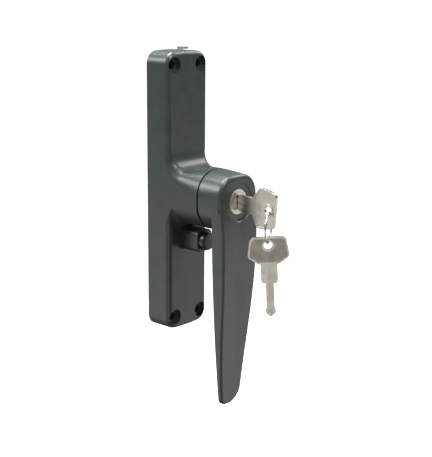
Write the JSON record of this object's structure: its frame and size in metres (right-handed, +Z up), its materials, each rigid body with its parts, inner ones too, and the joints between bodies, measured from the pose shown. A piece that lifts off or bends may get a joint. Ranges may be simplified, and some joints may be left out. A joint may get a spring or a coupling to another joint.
{
  "type": "tilt turn handle",
  "caption": "Surface-mounted tilt-turn window handle with a tapered lever, a key lock in its head, a push button below the boss and a rack-driven pin.",
  "frame": {"origin": "on the lever's turning axis, in the plane of the casing's back face, which is also the centre of the fixing holes", "axes": "+X right when seen from the room, +Y out of the casing's back into the window sash, +Z up along the casing; the lever hangs towards -Z when closed"},
  "size_m": [0.0344, 0.0991, 0.2105],
  "materials": {
    "dark_paint": "satin powder coat, fine grain",
    "block_paint": "satin powder coat",
    "button_paint": "satin powder coat with a worn bright edge",
    "zinc_plate": "zinc-plated sheet",
    "screw_steel": "zinc-plated",
    "spring_steel": "bright spring steel",
    "gear_steel": "machined steel, lightly oiled",
    "bearing_plastic": "natural nylon",
    "black_plastic": "black acetal",
    "nickel": "satin nickel plating",
    "brass": "stamped brass",
    "ring_wire": "polished steel wire"
  },
  "bodies": {
    "casing": {"casing": "dark_paint", "back_plate": "zinc_plate", "back_plate_screws": "screw_steel", "spindle_bush": "bearing_plastic", "thrust_washer": "black_plastic", "slide_guides": "bearing_plastic", "index_spring": "spring_steel", "button_housing": "block_paint", "housing_nut": "screw_steel", "button_spring": "spring_steel"},
    "handle": {"handle_lever": "dark_paint", "pinion": "gear_steel", "pinion_washer": "screw_steel", "pinion_screw": "screw_steel", "spring_washer": "spring_steel", "lock_housing": "nickel", "lock_set_screw": "screw_steel"},
    "plug": {"lock_plug": "nickel", "lock_wafers": "brass", "lock_cam": "gear_steel", "key": "nickel"},
    "bolt": {"lock_bolt": "gear_steel"},
    "slide": {"drive_slide": "gear_steel", "driver_pin": "gear_steel"},
    "button": {"push_button": "button_paint", "button_clip": "spring_steel"},
    "ring": {"key_ring": "ring_wire"},
    "spare_key": {"spare_key": "nickel"}
  },
  "joints": [
    {"name": "handle_turn", "type": "hinge", "parent": "casing", "child": "handle", "pos_m": [0, 0, 0], "axis": [0, -1, 0], "range_deg": [0, 180]},
    {"name": "drive_lift", "type": "slide", "parent": "casing", "child": "slide", "axis": [0, 0, 1], "range_m": [0, 0.0346], "deforming": ["index_spring"]},
    {"name": "key_turn", "type": "hinge", "parent": "handle", "child": "plug", "pos_m": [0, 0, 0], "axis": [0, -1, 0], "range_deg": [0, 90]},
    {"name": "bolt_throw", "type": "slide", "parent": "handle", "child": "bolt", "axis": [0, 0, -1], "range_m": [0, 0.00284]},
    {"name": "button_press", "type": "slide", "parent": "casing", "child": "button", "axis": [0, 1, 0], "range_m": [0, 0.003], "stiffness_N_per_m": 900, "springref_m": -0.0012, "deforming": ["button_spring"]},
    {"name": "ring_swing", "type": "hinge", "parent": "plug", "child": "ring", "pos_m": [0, -0.07925, -0.00332], "axis": [0.891, 0.454, 0], "range_deg": [-40, 8]},
    {"name": "spare_key_swing", "type": "hinge", "parent": "ring", "child": "spare_key", "pos_m": [0, -0.07925, -0.02032], "axis": [0.891, 0.454, 0], "range_deg": [-30, 8]}
  ],
  "couplings": [
    {"joint": "drive_lift", "follows": "handle_turn", "m_per_rad": 0.011},
    {"joint": "bolt_throw", "follows": "key_turn", "m_per_rad": 0.0018}
  ]
}
